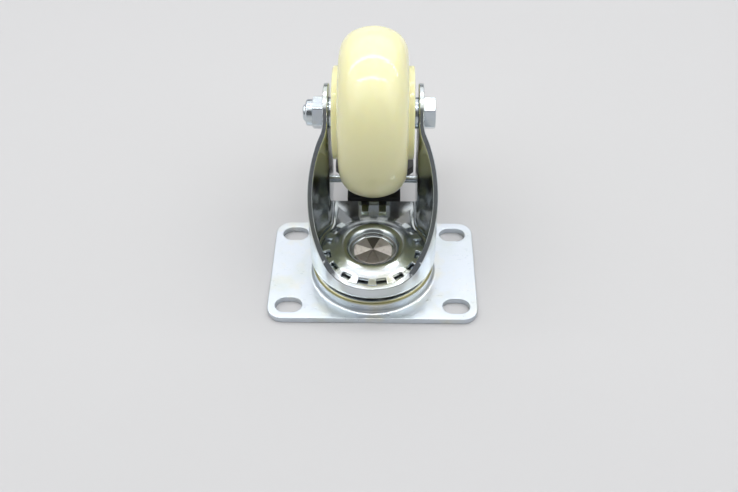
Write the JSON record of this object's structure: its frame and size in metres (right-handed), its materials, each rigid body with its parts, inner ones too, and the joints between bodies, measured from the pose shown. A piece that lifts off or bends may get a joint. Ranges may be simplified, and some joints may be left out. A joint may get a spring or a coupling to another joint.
{
  "type": "braked swivel castor",
  "caption": "Swivel castor with a slotted mounting plate, pressed steel fork, nylon wheel on ball bearings and a foot pedal that locks wheel and swivel.",
  "frame": {"origin": "centre of the mounting face, where it meets the swivel axis; the castor stands on its plate", "axes": "+Z along the swivel axis from the plate to the wheel, +Y to the trailing side where the axle and pedal are, +X along the axle to the bolt head"},
  "size_m": [0.094, 0.1144, 0.105],
  "materials": {
    "zinc_plated_steel": "pressed sheet steel, bright zinc plated",
    "bright_steel": "hardened or peened steel, polished",
    "cream_nylon": "moulded natural nylon, semi-gloss",
    "black_nylon": "moulded black nylon, satin"
  },
  "bodies": {
    "plate": {"top_plate": "zinc_plated_steel", "kingpin": "bright_steel", "lock_disc": "zinc_plated_steel"},
    "upper_ball_row": {"upper_balls": "bright_steel"},
    "lower_ball_row": {"lower_balls": "bright_steel"},
    "fork": {"fork": "zinc_plated_steel", "axle_bolt": "zinc_plated_steel", "axle_nut": "zinc_plated_steel", "nut_insert": "black_nylon", "axle_sleeve": "zinc_plated_steel", "collar_left": "zinc_plated_steel", "collar_right": "zinc_plated_steel", "bearing_inner_left": "bright_steel", "bearing_inner_right": "bright_steel", "brake_pin": "zinc_plated_steel"},
    "wheel": {"wheel": "cream_nylon", "bearing_outer_left": "bright_steel", "bearing_outer_right": "bright_steel", "bearing_shields_left": "zinc_plated_steel", "bearing_shields_right": "zinc_plated_steel"},
    "bearing_row_left": {"bearing_balls_left": "bright_steel", "bearing_cage_left": "bright_steel"},
    "bearing_row_right": {"bearing_balls_right": "bright_steel", "bearing_cage_right": "bright_steel"},
    "brake": {"brake_pedal": "black_nylon", "lock_plate": "zinc_plated_steel", "brake_shoe": "zinc_plated_steel", "brake_rivets": "bright_steel"}
  },
  "joints": [
    {"name": "swivel", "type": "hinge", "parent": "plate", "child": "fork", "pos_m": [0, 0, 0], "axis": [0, 0, 1], "continuous": true},
    {"name": "upper_row_orbit", "type": "hinge", "parent": "plate", "child": "upper_ball_row", "pos_m": [0, 0, 0], "axis": [0, 0, 1], "continuous": true},
    {"name": "lower_row_orbit", "type": "hinge", "parent": "plate", "child": "lower_ball_row", "pos_m": [0, 0, 0], "axis": [0, 0, 1], "continuous": true},
    {"name": "wheel_spin", "type": "hinge", "parent": "fork", "child": "wheel", "pos_m": [0, 0.033, 0.0675], "axis": [1, 0, 0], "continuous": true},
    {"name": "left_row_orbit", "type": "hinge", "parent": "fork", "child": "bearing_row_left", "pos_m": [0, 0.033, 0.0675], "axis": [1, 0, 0], "continuous": true},
    {"name": "right_row_orbit", "type": "hinge", "parent": "fork", "child": "bearing_row_right", "pos_m": [0, 0.033, 0.0675], "axis": [1, 0, 0], "continuous": true},
    {"name": "brake_swing", "type": "hinge", "parent": "fork", "child": "brake", "pos_m": [0, 0.03799, 0.02499], "axis": [1, 0, 0], "range_deg": [0, 10]}
  ],
  "couplings": [
    {"joint": "upper_row_orbit", "follows": "swivel", "ratio": 0.5},
    {"joint": "lower_row_orbit", "follows": "swivel", "ratio": 0.5},
    {"joint": "left_row_orbit", "follows": "wheel_spin", "ratio": 0.6262},
    {"joint": "right_row_orbit", "follows": "wheel_spin", "ratio": 0.6262}
  ]
}
